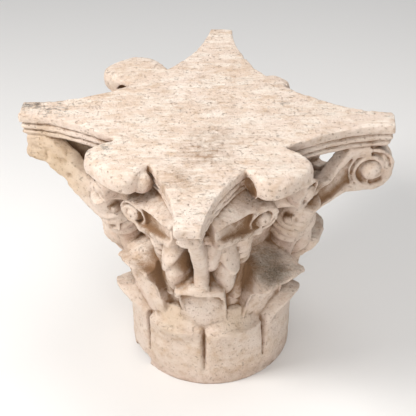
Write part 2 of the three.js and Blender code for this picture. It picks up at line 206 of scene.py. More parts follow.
def abacusSlab():
    # four hollow arcs and four cut horns, moved in by the edge's moulding at each level
    drops = np.unique(np.concatenate([np.linspace(0, abacus["height"], 40),
                                      np.array(abacus["edge"])[:, 0]]))[::-1]
    inset = readOff(abacus["edge"], drops)[:, None]
    share = np.linspace(0, 1, 90)
    sides = []
    for face in range(4):
        low = -sideEnd(abacus["horn"][face - 1], inset)
        high = sideEnd(abacus["horn"][face], inset)
        distance = low + (high - low) * share
        z = (block["height"] - drops)[:, None]
        sides.append(facePoint(face, sideOut(distance, inset), distance, z))
    return closedRows(np.concatenate(sides, 1))


# The two rows of leaves

lowerLeaf = {
    "count": 8,
    "height": 196,
    "shoulder": 150,
    "curl": 34,
    "thickness": 22,
    "gap": 13,
    "swell": 1.5,
    "sidePower": 2.2,      # how squarely the tip is rounded from side to side
    "curlFrom": 0.66,      # share of the height where the front starts to curl out
    "curlPower": 1.6,
    "broken": [6, 7],
    "brokenShoulder": 145,
    "brokenDrop": 47,
    "brokenCurl": 13,
    "brokenLedge": 13,     # how far the break lies behind the foot's face at its top
}

upperLeaf = {
    "height": 307,
    "width": 98,
    "bottom": 104,
    "reach": 240,
    "growth": [12, 0, 0, -2, -4, -12, -22, 0],    # by leaf, turning from +X towards +Y
    "sideBack": 10,        # how far the lip's two ends lie back, and below the middle
    "sideDrop": 8,
    "footRise": 36,
    # how far out the front lies, as a share of the flare, at two shares of the height
    "bow": [[-0.06, 0.63], [0.26, 0.82]],
    "hollow": 15,
    "rib": 1.5,
    "ribStart": 0.86,      # share of the half width where the ribs begin
}


def leafRows(bearing, halfWidth, u, profile, share):
    # profile (r, z) by slice, laid u * halfWidth * share to the side round the axis
    radius, z = profile[..., 0], profile[..., 1]
    sideways = u[:, None] * halfWidth * share
    return closedRows(polar(radius, bearing + sideways / radius, z))


def oneLowerLeaf(index):
    # front r = R + w sin(pi t) + c b ease(t)^p with b = 1 - |u|^q, over a lip, back to the bell
    broken = index in lowerLeaf["broken"]
    radius = block["footRadius"]
    width = math.pi * radius / lowerLeaf["count"]
    curl = lowerLeaf["brokenCurl"] if broken else lowerLeaf["curl"]
    shoulder = lowerLeaf["brokenShoulder"] if broken else lowerLeaf["shoulder"]
    u = np.linspace(-1, 1, 60)
    bend = (1 - np.abs(u) ** lowerLeaf["sidePower"])[:, None]
    tip = shoulder + (lowerLeaf["height"] - shoulder) * bend
    lip = tip - lowerLeaf["brokenDrop"] * bend if broken else tip
    t = np.linspace(0, 1, 70)
    inner = radius - lowerLeaf["thickness"]
    swell = lowerLeaf["swell"] * np.sin(math.pi * t)
    curled = curl * bend * ease(lowerLeaf["curlFrom"], 1.04, t) ** lowerLeaf["curlPower"]
    front = [radius + swell + curled, (lip - 4) * t]
    s = np.linspace(0, 1, 30)
    nose = radius + curl * bend - 1
    if broken:
        back = radius - lowerLeaf["brokenLedge"]
        top = [nose + (back - nose) * s**0.45, lip + (tip + 2 - lip) * s]
    else:
        top = [nose + (inner + 20 - nose) * s, lip + (tip + 2 - lip) * ease(-0.2, 1, s)]
    rear = [np.array([inner - 12.0, inner - 12.0]), np.array([1.0, 0.0])]
    ones = np.ones_like(bend)
    rows = np.stack([
        np.concatenate([front[0] * ones, top[0] * ones, rear[0] * ones], 1),
        np.concatenate([front[1] * ones, top[1] * ones, (tip + 6) * rear[1]], 1),
    ], -1)
    rise = block["footRingHeight"]
    narrow = 1 - lowerLeaf["gap"] / 2 / width
    share = 1.01 + (narrow - 1.01) * ease(rise, rise + 16, rows[..., 1])
    bearing = (index + 0.5) * 2 * math.pi / lowerLeaf["count"]
    return leafRows(bearing, width, u, rows, share)


def oneUpperLeaf(index):
    # a curve through the front's points by slice, hollowed by h sqrt(1 - (u / s)^6) between
    # its ribs, then one over the top and back to the bell
    reach = upperLeaf["reach"] + upperLeaf["growth"][index]
    u = np.linspace(-1, 1, 50)
    ones = np.ones_like(u)
    lip = reach - upperLeaf["sideBack"] * u**2
    rise = upperLeaf["height"] - upperLeaf["sideDrop"] * u**2
    flare = lip - block["footRadius"]
    inner = block["bellRadius"] - 10
    foot = block["footRadius"]
    bottom = upperLeaf["bottom"]
    points = [[inner * ones, bottom * ones],
              [(foot - 15) * ones, (bottom + upperLeaf["footRise"]) * ones]]
    points += [[foot + out * flare, up * upperLeaf["height"] * ones]
               for out, up in upperLeaf["bow"]]
    points += [[lip - 14, rise - 22], [lip, rise - 4]]
    front = curve(np.transpose(points, (2, 0, 1)), 80)
    level = np.linspace(0, 1, 80)
    across = np.abs(u)[:, None]
    window = band(0.5, 0.94, 0.12, level)
    hollow = np.sqrt(np.maximum(1 - (across / upperLeaf["ribStart"]) ** 6, 0))
    front[..., 0] += (upperLeaf["rib"] * (1 - hollow) - upperLeaf["hollow"] * hollow) * window
    points = [[lip - 5, rise + 2], [lip - 22, rise + 4],
              [(block["bellRadius"] + 28) * ones, rise + 17], [inner * ones, rise + 30]]
    top = curve(np.transpose(points, (2, 0, 1)), 40)
    rows = np.concatenate([front, top], 1)
    share = readOff([[0, 0.9], [0.45, 0.93], [0.75, 1], [1, 0.97], [1.1, 0.8]],
                    rows[..., 1] / upperLeaf["height"])
    bearing = index * 2 * math.pi / lowerLeaf["count"]
    return leafRows(bearing, upperLeaf["width"] / 2, u, rows, share)


# Stalks with ringed collars, sheath pods and the strut

stalk = {
    "bottom": 235,
    "headDrop": 72,
    "collars": (0.52, 0.82),
    "footRadius": 20,
    "headRadius": 33,
    "footAngle": 22.5,
    "headAngle": 20,
    "headShare": 0.8,      # share of the height where the full radius and reach come
    "tilt": 0.55,
    "reach": 196,
    "nearReach": 178,      # the near corner's two stalks lie deeper and are thinner
    "nearSize": 0.7,
    "ringDepth": 7,
    "ringPitch": 0.092,
    "ringPower": 0.6,
    "ringSink": 0.3,
}

# the near corner's two stalks, by face and side
nearStalks = ((0, -1), (3, 1))

pod = {"bottom": 262, "top": 432, "width": 66, "reach": 224, "angle": 14, "slant": 0.45}

strut = {"width": 28, "depth": 24, "shift": 4, "footInset": 14, "headInset": 31,
         "tab": [38, 12, 9]}

# the stone left standing behind the strut
backings = [
    {"bearing": -39, "width": 62, "bottom": 320, "top": 470, "reach": 232},
    {"bearing": -52, "width": 62, "bottom": 400, "top": 520, "reach": 236},
]


def oneStalk(face, side):
    # circles of radius r(s) + d (|cos(pi (s - 1) / p)|^q - k) over the collars, along a
    # leaning path
    s = np.linspace(0, 1, 60)[:, None]
    top = abacusBottom - stalk["headDrop"]
    angle = stalk["footAngle"] + (stalk["headAngle"] - stalk["footAngle"]) * s
    bearing = face * quarter + side * np.radians(angle)
    near = (face, side) in nearStalks
    start = block["bellRadius"] + 8
    full = stalk["nearReach"] if near else stalk["reach"]
    reach = start + (full - start) * (s / stalk["headShare"]) ** 2
    z = stalk["bottom"] + (top - stalk["bottom"]) * s
    grown = np.minimum(s / stalk["headShare"], 1) ** 0.8
    radius = stalk["footRadius"] + (stalk["headRadius"] - stalk["footRadius"]) * grown
    radius = radius * (stalk["nearSize"] if near else 1)
    rings = np.abs(np.cos(math.pi * (s - 1) / stalk["ringPitch"])) ** stalk["ringPower"]
    rings = rings - stalk["ringSink"]
    first, last = stalk["collars"]
    radius = radius + stalk["ringDepth"] * rings * band(first, last, 0.02, s)
    turn = ring(48)
    tilt = stalk["tilt"] * s
    lean = np.stack([np.cos(bearing) * np.cos(tilt), np.sin(bearing) * np.cos(tilt),
                     -np.sin(tilt)], -1)
    across = np.stack([-np.sin(bearing), np.cos(bearing), 0 * bearing], -1)
    circle = lean * np.cos(turn)[:, None] + across * np.sin(turn)[:, None]
    return closedRows(polar(reach, bearing, z) + radius[..., None] * circle)


def bud(sizes, bearing, start, depth, t, turn, swell):
    # round an upright line at radius s: out by d w cos a, across by (width / 2) w sin a
    z = (sizes["bottom"] + sizes["top"]) / 2 + (sizes["top"] - sizes["bottom"]) / 2 * t
    out = depth * swell * np.cos(turn)
    sideways = sizes["width"] / 2 * swell * np.sin(turn)
    return closedRows(polar(start, bearing, z) + out[..., None] * polar(1, bearing, 0)
                      + sideways[..., None] * polar(1, bearing + quarter, 0))


def onePod(corner, side):
    # a bud of w = (1 - |t|^2.6)^0.5 (1 - 0.1 t), fuller above a slanting lip
    t = np.linspace(-0.99, 0.99, 60)[:, None]
    turn = ring(72)
    lip = t - 0.1 + pod["slant"] * side * np.sin(turn)
    swell = np.sqrt(1 - np.abs(t) ** 2.6) * (1 - 0.1 * t)
    swell = swell * (0.88 + 0.14 * ease(-0.07, 0.07, lip))
    bearing = cornerBearing(corner) + side * math.radians(pod["angle"])
    start = block["bellRadius"] + 8
    return bud(pod, bearing, start, (pod["reach"] - start) * 1.02, t, turn, swell)


def nearBacking(sizes):
    # an upright ellipsoid, w = (1 - t^2)^0.5
    t = np.linspace(-0.99, 0.99, 40)[:, None]
    start = block["bellRadius"]
    bearing = math.radians(sizes["bearing"])
    return bud(sizes, bearing, start, sizes["reach"] - start, t, ring(48), np.sqrt(1 - t**2))


def alongCorner(corner, reach, sideways, z):
    # r along the corner's diagonal and s square to it
    bearing = cornerBearing(corner)
    return polar(reach, bearing, z) + polar(1, bearing + quarter, 0) * sideways[..., None]


def nearStrut():
    # a strip swept up the diagonal from the leaf to the horn, rounded across
    foot = upperLeaf["reach"] - strut["footInset"]
    head = abacus["horn"][3] - strut["headInset"]
    base = upperLeaf["height"] + 8
    middle = (foot + head) / 2
    path = curve([[foot, base], [foot + 3, base + 34], [middle - 20, base + 92],
                  [head - 22, abacusBottom - 32], [head, abacusBottom + 6]], 90)
    turn = ring(40)
    wide = strut["width"] / 2 * signedPower(np.cos(turn), 0.7) + strut["shift"]
    deep = strut["depth"] * signedPower(np.sin(turn), 0.7)
    z = path[:, 1:] + 0 * turn
    return closedRows(alongCorner(3, path[:, :1] - strut["depth"] + deep, 0 * z + wide, z))


def strutTab():
    # a small flat tab at the strut's foot, on top of the leaf
    width, depth, rise = strut["tab"]
    turn = ring(40)
    foot = upperLeaf["reach"] - strut["footInset"]
    size = np.array([[1], [1], [0.8]])
    wide = size * width / 2 * signedPower(np.cos(turn), 0.4)
    deep = size * depth * signedPower(np.sin(turn), 0.4)
    z = np.array([[0], [rise - 2], [rise]]) + upperLeaf["height"] - 1 + 0 * turn
    return closedRows(alongCorner(3, foot - 3 + deep, wide, z))


# Inner spirals, corner straps and volutes

scroll = {
    "radius": 32,
    "offset": 57,
    "proud": 42,
    "drop": 46,
    "back": 58,
    "pitch": 15,
    "rimPart": 0.5,        # share of the pitch that the raised rim takes
    "channel": 11,
    "eye": 13,
    "eyeProud": 8,
    "eyeHole": 5,
    "shrink": 0.06,        # how much the outline draws in over one turn
    "tilt": -0.25,
}

volute = {
    "inset": 30,
    "radius": 49,
    "behindStrap": 7,
    "pitch": 21,
    "rimPart": 0.4,
    "channel": 8,
    "eye": 19,
    "eyeProud": 11,
    "eyeHole": 0,
    "shrink": 0.08,
}

strap = {
    "thickness": {"sound": 31, "cut": 31, "left": 31, "near": 62},
    "start": 56,
    "channel": 10,
    # where the channel lies up the strap, and how much of the top slopes back to the abacus
    "channelShare": {"sound": (0.2, 0.8), "cut": (0.2, 0.8), "left": (0.4, 0.4),
                     "near": (0.2, 0.62)},
    "slope": {"sound": 0, "cut": 0, "left": 0, "near": 24},
    # how far each kind of strap still runs, as a share of its volute's width
    "run": {"sound": 0.5, "cut": 0.5, "left": 0.84, "near": 0.16},
    # lower and upper edge as [share of the run, drop below the abacus], and the bulge
    "low": {
        "sound": [[0, 120], [0.29, 115], [0.52, 106], [0.72, 92], [1, 98]],
        "cut": [[0, 132], [0.29, 127], [0.52, 116], [0.72, 98], [1, 98]],
        "near": [[0, 84], [0.29, 78], [0.52, 68], [0.72, 57], [1, 38]],
        "left": [[0, 160], [0.36, 150], [0.67, 118], [0.85, 84], [1, 60], [1.22, 46]],
    },
    "high": {
        "sound": [[0, 50], [0.24, 64], [0.47, 50], [0.62, 22], [0.76, -2]],
        "cut": [[0, 66], [0.24, 92], [0.47, 90], [0.62, 70], [0.76, 46], [0.89, -2]],
        "near": [[0, -8], [1, -8]],
        "left": [[0, 64], [0.44, 72], [0.68, 46], [0.89, 12], [1, -2]],
    },
    "bulge": {
        "sound": [[0, 30], [0.29, 12], [0.69, 2], [1.32, -6]],
        "cut": [[0, 30], [0.29, 12], [0.69, 2], [1.32, -6]],
        "near": [[0, 34], [0.36, 22], [0.69, 12], [1.32, -6]],
        "left": [[0, 22], [0.36, 6], [0.69, 0], [1.32, -6]],
    },
}

soffit = {"start": 34, "thickness": 18}

cornerState = ["sound", "sound", "left", "near"]
volutePlace = sideEnd(min(abacus["horn"]), 0) - volute["inset"]
voluteRise = abacusBottom - volute["radius"]


def strapState(face, side):
    # the strap's own state, or else that of the corner it runs to
    if face == 1 and side < 0:
        return "cut"
    return cornerState[face if side > 0 else face - 1]


def strapEnd(state):
    # how far along the face the strap still runs
    return volutePlace + volute["radius"] * (2 * strap["run"][state] - 1) - 1


def strapLine(kind, state, distance):
    # one of the strap's lines at a distance along the face
    run = (distance - strap["start"]) / (volutePlace - strap["start"])
    return readOff(strap[kind][state], run)


def strapOut(distance, state):
    # the abacus's side and the bulge before it
    return sideOut(distance) + strapLine("bulge", state, distance)


def oneStrap(face, side):
    # out(d) less a channel c between two rims, over d along the face and v up the strap
    state = strapState(face, side)
    distance = np.linspace(strap["start"], strapEnd(state), 90)[:, None]
    v = np.linspace(0, 1, 46)
    lower = abacusBottom - strapLine("low", state, distance)
    upper = abacusBottom - strapLine("high", state, distance)
    z = lower + (upper - lower) * v
    low, high = strap["channelShare"][state]
    sunk = strap["channel"] * band(low, high, 0.05, v) * (high > low)
    rounded = 3 * (np.abs(2 * v - 1) ** 8)
    rounded = rounded + 1.7 * np.maximum(strap["slope"][state] - (upper - z), 0)
    out = strapOut(distance, state)
    front = facePoint(face, out - sunk - rounded, side * distance, z)
    back = facePoint(face, out - strap["thickness"][state], side * distance, z)
    return slab(front, back)


def oneSoffit(corner):
    # a bridge between the lower edges of a corner's two straps
    share = np.linspace(0, 1, 60)
    ends = []
    for face, side in ((corner, 1), ((corner + 1) % 4, -1)):
        state = strapState(face, side)
        distance = soffit["start"] + (strapEnd(state) - 8 - soffit["start"]) * share
        kept = np.maximum(distance, strap["start"])
        lower = abacusBottom - strapLine("low", state, kept) + 5
        ends.append(facePoint(face, strapOut(kept, state) - 12, side * distance, lower))
    across = np.linspace(0, 1, 40)[:, None]
    under = ends[0][:, None] * (1 - across) + ends[1][:, None] * across
    return slab(under, under + np.array([0, 0, soffit["thickness"]]))


def carvedRound(place, facing, across, sizes, back):
    # front relief -c band(frac((R - r) / p + a)) and an eye h sqrt(1 - (r/e)^2), a in turns
    up = np.cross(facing, across)
    angle = ring(96)
    share = angle / (2 * math.pi)
    radius = np.concatenate([[1, 1], np.linspace(1, 0.01, 60)])[:, None] * sizes["radius"]
    proud = np.concatenate([[-back, -back / 2], np.zeros(60)])[:, None] + 0 * angle
    wound = ((sizes["radius"] - radius) / sizes["pitch"] + share) % 1
    inner = ease(sizes["eye"], sizes["eye"] + 3, radius)
    keptRim = ease(sizes["radius"] - 4, sizes["radius"] - 8, radius)
    groove = band(sizes["rimPart"], 0.97, 0.07, wound)
    relief = -sizes["channel"] * groove * inner * keptRim
    dome = np.sqrt(np.clip(1 - (radius / sizes["eye"]) ** 2, 0, 1))
    relief = relief + sizes["eyeProud"] * dome - sizes["eyeHole"] * (1 - ease(1.5, 3.5, radius))
    proud[2:] += relief[2:]
    drawn = radius * (1 - sizes["shrink"] * share)
    points = (place + proud[..., None] * facing
              + (drawn * np.cos(angle))[..., None] * across
              + (drawn * np.sin(angle))[..., None] * up)
    return closedRows(points)


def oneScroll(face, side):
    out = abacus["sideReach"] + scroll["proud"]
    place = facePoint(face, out, side * scroll["offset"], abacusBottom - scroll["drop"])
    bearing = math.atan2(place[1], place[0])
    facing = unit(polar(1, bearing, scroll["tilt"]))
    across = side * polar(1, bearing + quarter, 0)
    return carvedRound(place, facing, across, scroll, scroll["back"])


def oneVolute(face, side):
    state = strapState(face, side)
    place = facePoint(face, strapOut(volutePlace, state), side * volutePlace, voluteRise)
    slope = float(strapOut(volutePlace + 10, state) - strapOut(volutePlace - 10, state))
    facing = unit(facePoint(face, 20, -side * slope, 0))
    across = unit(facePoint(face, slope, side * 20, 0))
    back = strap["thickness"][state] + volute["behindStrap"]
    return carvedRound(place, facing, across, volute, back)


def spiralWeb(face):
    # a hollow wall h sin(pi u) between the two inner spirals
    half = scroll["offset"] - scroll["radius"] / 2
    bottom = abacusBottom - scroll["drop"] - scroll["radius"] * 0.7
    u = np.linspace(0, 1, 40)[:, None]
    z = np.linspace(bottom, abacusBottom + 4, 30)
    out = abacus["sideReach"] + scroll["proud"] - 6
    front = facePoint(face, out - 26 * np.sin(math.pi * u), half * (2 * u - 1), z)
    back = facePoint(face, block["bellRadius"], half * (2 * u - 1), z)
    return slab(front, back)


# Face lobes, worn flowers flush with the top

lobe = {
    "width": [138, 60, 134, 154],
    "rootWidth": 92,
    "proud": [85, 28, 113, 83],
    "shift": [-18, 8, -6, 8],
    "depth": 46,
    "inset": 24,           # how far behind the abacus's side the lobe starts
    "power": 0.55,         # how squarely its outline is rounded
    # share of the full width by drop below the top
    "profile": [[0, 0.5], [1, 0.8], [4, 0.91], [10, 0.97], [20, 1], [32, 1], [40, 0.92],
                [46, 0.7]],
}


def faceLobe(face):
    # a fan |cos a|^q out and |sin a|^q across, swelling with depth
    start = abacus["sideReach"] - lobe["inset"]
    reach = abacus["sideReach"] + lobe["proud"][face] - start
    width = lobe["width"][face]
    root = min(lobe["rootWidth"], width)
    drop = np.linspace(lobe["depth"], 0, 40)[:, None]
    size = readOff(lobe["profile"], drop)
    turn = np.linspace(-quarter, quarter, 80)
    outShare = size * np.abs(np.cos(turn)) ** lobe["power"]
    half = (root + (width - root) * np.minimum(1, outShare * 1.3)) / 2
    sideways = signedPower(np.sin(turn), lobe["power"])
    distance = lobe["shift"][face] + (0.55 + 0.45 * size) * half * sideways
    z = block["height"] - drop + 0 * turn
    return closedRows(facePoint(face, start + reach * outShare, distance, z))


def allForms():
    # every carved form as (points, faces)
    forms = [bell(), abacusSlab(), nearStrut(), strutTab()]
    forms += [nearBacking(sizes) for sizes in backings]
    for index in range(lowerLeaf["count"]):
        forms += [oneLowerLeaf(index), oneUpperLeaf(index)]
    for face in range(4):
        forms += [faceLobe(face), oneSoffit(face), spiralWeb(face)]
        for side in (-1, 1):
            forms += [oneStalk(face, side), onePod(face, side), oneScroll(face, side),
                      oneStrap(face, side)]
            if strapState(face, side) in ("sound", "cut"):
                forms.append(oneVolute(face, side))
    return forms


def meshFrom(name, points, faces):
    # metres from millimetres; faces of three or four corners
    mesh = bpy.data.meshes.new(name)
    mesh.from_pydata((points / 1000).tolist(), [], faces.tolist())
    mesh.update()
    return mesh


def placed(name, data):
    made = bpy.data.objects.new(name, data)
    bpy.context.scene.collection.objects.link(made)
    return made


def shownMesh(piece, kind, **settings):
    # the mesh that one modifier leaves
    modifier = piece.modifiers.new(kind.lower(), kind)
    for key, value in settings.items():
        setattr(modifier, key, value)
    graph = bpy.context.evaluated_depsgraph_get()
    made = bpy.data.meshes.new_from_object(piece.evaluated_get(graph))
    piece.modifiers.clear()
    return made


def meshArrays(mesh):
    # points in millimetres, their normals, and the two points of each edge
    points = np.empty(len(mesh.vertices) * 3)
    mesh.vertices.foreach_get("co", points)
    normals = np.empty(len(mesh.vertices) * 3)
    mesh.vertex_normals.foreach_get("vector", normals)
    edges = np.empty(len(mesh.edges) * 2, np.int32)
    mesh.edges.foreach_get("vertices", edges)
    return points.reshape(-1, 3) * 1000, normals.reshape(-1, 3), edges.reshape(-1, 2)


def movePoints(mesh, points):
    mesh.vertices.foreach_set("co", (points / 1000).ravel())
    mesh.update()


def soften(points, edges, rounds):
    # each round moves a point half way to the mean of its neighbours
    a, b = edges.T
    count = len(points)
    near = np.bincount(a, minlength=count) + np.bincount(b, minlength=count)
    for _ in range(rounds):
        total = np.stack([
            np.bincount(a, points[b, k], count) + np.bincount(b, points[a, k], count)
            for k in range(3)], 1)
        points = (points + total / near[:, None]) / 2
    return points


def noise(points, cell, seed):
    # value noise: random lattice values from -1 to 1 joined by t t (3 - 2 t)
    size = 64
    table = np.random.default_rng(seed).uniform(-1, 1, (size,) * 3)
    place = points / cell
    base = np.floor(place).astype(int)
    t = place - base
    t = t * t * (3 - 2 * t)
    total = np.zeros(len(points))
    for corner in np.ndindex(2, 2, 2):
        weight = np.prod(np.where(np.array(corner) == 1, t, 1 - t), 1)
        x, y, z = ((base + corner) % size).T
        total += weight * table[x, y, z]
    return total


# Drilled hollows, breaks and wear, on the finished skin

drilled = {
    # beside each lobe's root: past its end, out from the abacus's side and up from its bottom
    "lobe": {"past": 13, "out": 17, "rise": 24, "radius": 21},
    # over the near corner's two stalks: out from the axis, to the side, below the abacus
    "stalk": {"out": 208, "aside": 38, "drop": 128, "radius": 22},
    # small holes at the heads of two stalks: centre and radius
    "small": [((-43, -205, 418), 12), ((197, 39, 403), 12)],
}

# each layer of unevenness is the noise's cell, height and seed
wear = {
    "layers": [(70, 1.6, 0), (24, 1.0, 1), (9, 0.55, 2), (4.5, 0.35, 3)],
    "chips": {"cell": 15, "seed": 11, "share": 3.2, "rounds": 14},
    # the left corner's break, by place along the diagonal and by height
    "ruin": {"from": 215, "full": 300, "top": 505, "under": 480,
             "layers": [(34, 7, 21), (15, 4, 22)]},
    "horn": {"back": 19, "below": 6, "rise": 25, "layers": [(12, 2, 31)]},
    "foot": {"bearing": -103, "width": 66, "height": 20, "depth": 17,
             "layers": [(14, 2, 32)]},
}


def levelWay(bearing):
    # (cos b, sin b)
    return np.array([math.cos(bearing), math.sin(bearing)])


def unevenness(points, layers):
    # the sum of height * noise
    return sum(height * noise(points, cell, seed) for cell, height, seed in layers)


def drilledHollows():
    # centre and radius of each ball-shaped hollow
    hollows = [(np.array(centre, float), radius) for centre, radius in drilled["small"]]
    beside, over = drilled["lobe"], drilled["stalk"]
    for face in range(4):
        edge = lobe["rootWidth"] / 2 * min(1, lobe["width"][face] / lobe["rootWidth"])
        for side in (-1, 1):
            along = lobe["shift"][face] + side * (edge + beside["past"])
            out = sideOut(along) + beside["out"]
            centre = facePoint(face, out, along, abacusBottom + beside["rise"])
            hollows.append((centre, beside["radius"]))
            if (face, side) in nearStalks:
                centre = facePoint(face, over["out"], side * over["aside"],
                                   abacusBottom - over["drop"])
                hollows.append((centre, over["radius"]))
    return hollows


def hollowOut(points, hollows):
    # points inside a ball are pushed straight out to its surface
    for centre, radius in hollows:
        arm = points - centre
        length = np.linalg.norm(arm, axis=1)
        inside = (length < radius) & (length > 0.01)
        points[inside] = centre + arm[inside] * (radius / length[inside])[:, None]
    return points


def cutBack(points, way, limit, inside):
    # p - w max(p . w - limit, 0) for the points inside the break
    over = np.where(inside, np.maximum(points[:, :2] @ way - limit, 0), 0)
    points[:, :2] -= over[:, None] * way
    return points


def breakHorn(points):
    # the lower part of the near horn's end is cut back along the diagonal
    broken = wear["horn"]
    limit = abacus["horn"][3] - broken["back"] + unevenness(points, broken["layers"])
    height = points[:, 2] - abacusBottom
    inside = (height > -broken["below"]) & (height < broken["rise"])
    return cutBack(points, levelWay(cornerBearing(3)), limit, inside)


def breakFoot(points):
    # a chip out of the foot's edge
    chip = wear["foot"]
    way = levelWay(math.radians(chip["bearing"]))
    sideways = points[:, :2] @ np.array([-way[1], way[0]])
    limit = block["footRadius"] - chip["depth"] + unevenness(points, chip["layers"])
    inside = (np.abs(sideways) < chip["width"] / 2) & (points[:, 2] < chip["height"])
    return cutBack(points, way, limit, inside)


def weather(points, normals, edges):
    # p + n (unevenness - chips), chips = k * how far an arris stands out, where noise is
    # high; the left corner is rougher, and the bed below stays flat
    chips, ruin = wear["chips"], wear["ruin"]
    lift = unevenness(points, wear["layers"])
    smooth = soften(points, edges, chips["rounds"])
    arris = np.einsum("ij,ij->i", points - smooth, normals)
    chipped = ease(0.1, 0.55, noise(points, chips["cell"], chips["seed"]))
    lift -= chips["share"] * chipped * np.clip(arris, 0, 2)
    along = points @ (np.array([-1, -1, 0]) / math.sqrt(2))
    ruined = ease(ruin["from"], ruin["full"], along)
    ruined = ruined * ease(ruin["top"], ruin["under"], points[:, 2])
    lift += ruined * unevenness(points, ruin["layers"])
    bed = ease(0, 5, points[:, 2])
    return points + normals * (lift * bed)[:, None]


def keepInBox(points):
    low, high = (np.array(corner) * 1000 for corner in cadBox)
    return np.clip(points, low, high)


def largestBody(mesh):
    # each point takes its neighbours' lowest number until a body shares one; the largest stays
    points, _, edges = meshArrays(mesh)
    label = np.arange(len(points))
    settled = False
    while not settled:
        low = np.minimum(label[edges[:, 0]], label[edges[:, 1]])
        spread = label.copy()
        np.minimum.at(spread, edges[:, 0], low)
        np.minimum.at(spread, edges[:, 1], low)
        spread = spread[spread]
        settled = np.array_equal(spread, label)
        label = spread
    kept = label == np.bincount(label).argmax()
    mesh.calc_loop_triangles()
    faces = np.empty(len(mesh.loop_triangles) * 3, np.int32)
    mesh.loop_triangles.foreach_get("vertices", faces)
    faces = faces.reshape(-1, 3)
    number = np.cumsum(kept) - 1
    made = meshFrom("carved_stone", keepInBox(points[kept]), number[faces[kept[faces[:, 0]]]])
    made.polygons.foreach_set("use_smooth", np.ones(len(made.polygons), bool))
    return made


def carve():
    forms = allForms()
    counts = np.cumsum([0] + [len(points) for points, _ in forms[:-1]])
    points = np.concatenate([points for points, _ in forms])
    faces = np.concatenate([faces + count for (_, faces), count in zip(forms, counts)])
    piece = placed("carved_stone", meshFrom("rough", points, faces))
    print("forms:", len(forms), "triangles:", len(faces))

    mesh = shownMesh(piece, "REMESH", mode="VOXEL", voxel_size=skin["voxel"] / 1000)
    points, _, edges = meshArrays(mesh)
    print("skin points:", len(points))
    points = hollowOut(points, drilledHollows())
    points = breakFoot(breakHorn(points))
    movePoints(mesh, soften(points, edges, skin["wearRounds"]))
    movePoints(mesh, keepInBox(weather(*meshArrays(mesh))))
    piece.data = mesh
    ratio = skin["triangles"] / (2 * len(mesh.polygons))
    piece.data = largestBody(shownMesh(piece, "DECIMATE", ratio=min(1, ratio)))
    print("finished triangles:", len(piece.data.polygons))
    return piece


# Places of stains on the stone, and of painted shade in its recesses: x, y, z, radius, strength

marks = {
    # brown: stains on the top, and painted shade in the recesses beside the near upper leaves, by
    # the near strut and in two drilled holes
    "brown": [(102, -85, 565, 62, 1), (136, -187, 565, 45, 0.8), (80, -54, 565, 60, 0.7),
              (62, -165, 285, 70, 1), (50, -180, 330, 50, 0.9), (150, -75, 285, 60, 1),
              (156, 100, 160, 40, 0.7), (212, -102, 448, 45, 1), (102, -212, 448, 45, 0.9),
              (40, -187, 305, 38, 1), (168, -60, 312, 42, 1), (-43, -205, 418, 18, 1),
              (197, 39, 403, 18, 1), (116, -162, 355, 26, 1)],
    "grey": [(-262, -236, 565, 60, 1), (-207, -213, 565, 60, 0.9), (196, 233, 565, 60, 0.8),
             (228, 263, 565, 50, 0.9), (-26, -224, 565, 45, 0.9), (-43, -250, 560, 45, 0.9),
             (125, 50, 565, 40, 0.5), (72, 139, 565, 50, 0.6), (-54, -97, 565, 50, 0.35)],
    "moss": [(213, -22, 322, 60, 1), (190, -5, 335, 56, 0.9), (230, 20, 300, 44, 0.6)],
    # channel: brown in the straps' channels, partly stain and partly painted shade
    "channel": [(222, -78, 462, 30, 1), (228, -105, 464, 34, 1), (240, -135, 468, 32, 1),
                (78, -222, 462, 30, 1), (105, -228, 464, 34, 1), (135, -240, 468, 32, 1),
                (212, 95, 430, 42, 1), (222, 130, 432, 42, 1), (236, 165, 444, 38, 1)],
    "rough": [(-215, -215, 450, 110, 1), (66, -160, 175, 45, 0.6), (160, -66, 175, 45, 0.6)],
}


crevice = {"rounds": 12, "depth": 2.5}


def paintMark(mesh, kind, value):
    mesh.attributes.new(kind, "FLOAT", "POINT").data.foreach_set("value", value)


def paintMarks(mesh):
    # each kind of mark is the largest of s (1 - (d / r)^2) over its places, and hollow and
    # arris say how far a point lies below or above the softened skin, as a share of the depth
    points, normals, edges = meshArrays(mesh)
    apart = points - soften(points, edges, crevice["rounds"])
    stand = np.einsum("ij,ij->i", apart, normals) / crevice["depth"]
    paintMark(mesh, "hollow", np.clip(-stand, 0, 1))
    paintMark(mesh, "arris", np.clip(stand, 0, 1))
    for kind, places in marks.items():
        value = np.zeros(len(points))
        for x, y, z, radius, strength in places:
            distance = np.linalg.norm(points - (x, y, z), axis=1)
            value = np.maximum(value, strength * np.clip(1 - (distance / radius) ** 2, 0, 1))
        paintMark(mesh, kind, value)


# Shader building

class Number:
    # a shader value: +, - and * add Math nodes
    def __init__(self, maker, socket):
        self.maker = maker
        self.socket = socket

    def join(self, operation, a, b):
        return self.maker.number("ShaderNodeMath", {"operation": operation}, {0: a, 1: b})

    def __add__(self, other):
        return self.join("ADD", self, other)

    def __sub__(self, other):
        return self.join("SUBTRACT", self, other)

    def __mul__(self, other):
        return self.join("MULTIPLY", self, other)


